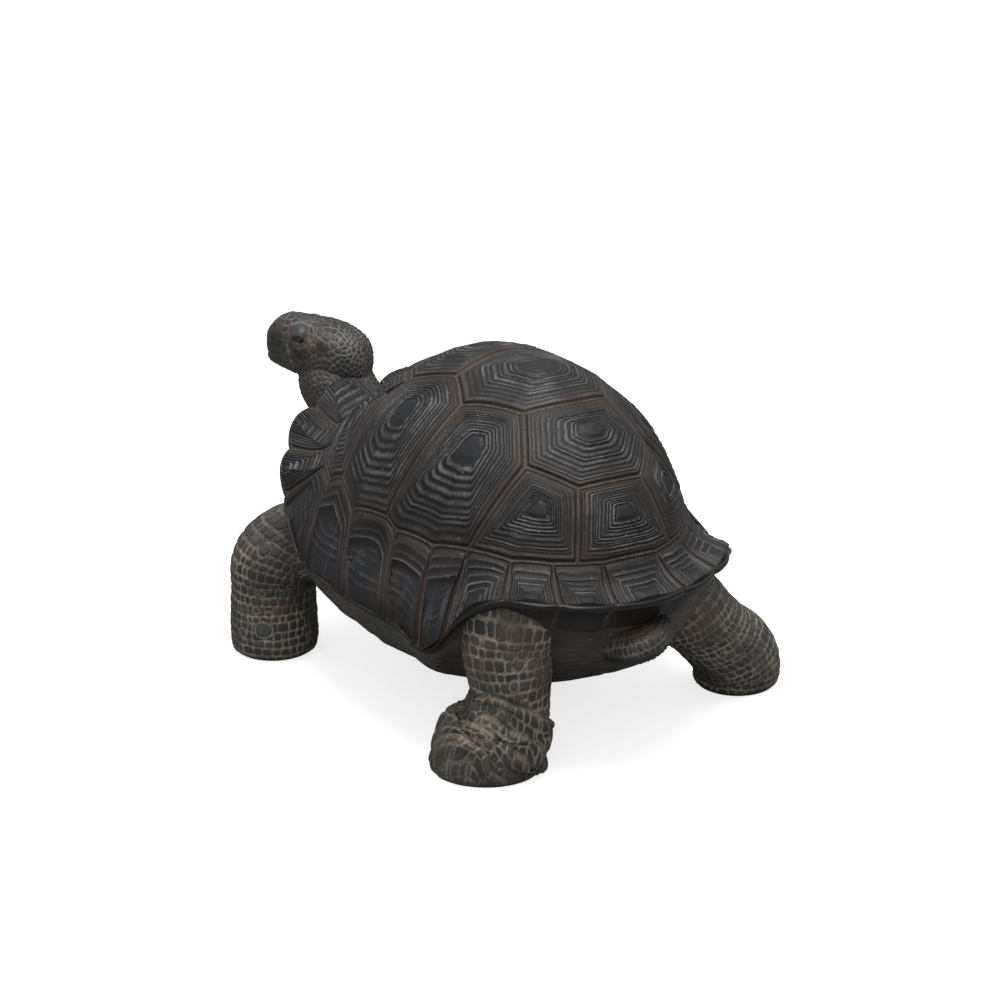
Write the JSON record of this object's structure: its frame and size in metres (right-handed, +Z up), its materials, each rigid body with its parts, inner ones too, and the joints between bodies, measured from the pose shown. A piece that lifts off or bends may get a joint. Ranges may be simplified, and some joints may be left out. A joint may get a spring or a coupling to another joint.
{
  "type": "giant tortoise garden statue",
  "caption": "Hand-painted cast resin garden statue of a giant tortoise, walking with its head up and turned to its left. It stands on the flat soles of its feet.",
  "frame": {"origin": "on the floor, below the middle of the statue's bounding box", "axes": "+X towards the front of the shell, +Y to the animal's left, +Z up"},
  "size_m": [0.4742, 0.326, 0.2529],
  "materials": {
    "shell": "charcoal paint on cast resin with brown washed seams, tan dry-brushed growth rings and a satin varnish",
    "underside": "dark charcoal paint on cast resin with a brown wash",
    "skin": "dark olive grey paint on cast resin with tan dry-brushed grooves and rust brown washes",
    "eye": "gloss black paint"
  },
  "bodies": {
    "root": {"carapace": "shell", "torso": "underside", "neck": "skin", "head": "skin", "eye_left": "eye", "eye_right": "eye", "leg_front_left": "skin", "leg_front_right": "skin", "leg_hind_left": "skin", "leg_hind_right": "skin", "tail": "skin"}
  },
  "joints": []
}
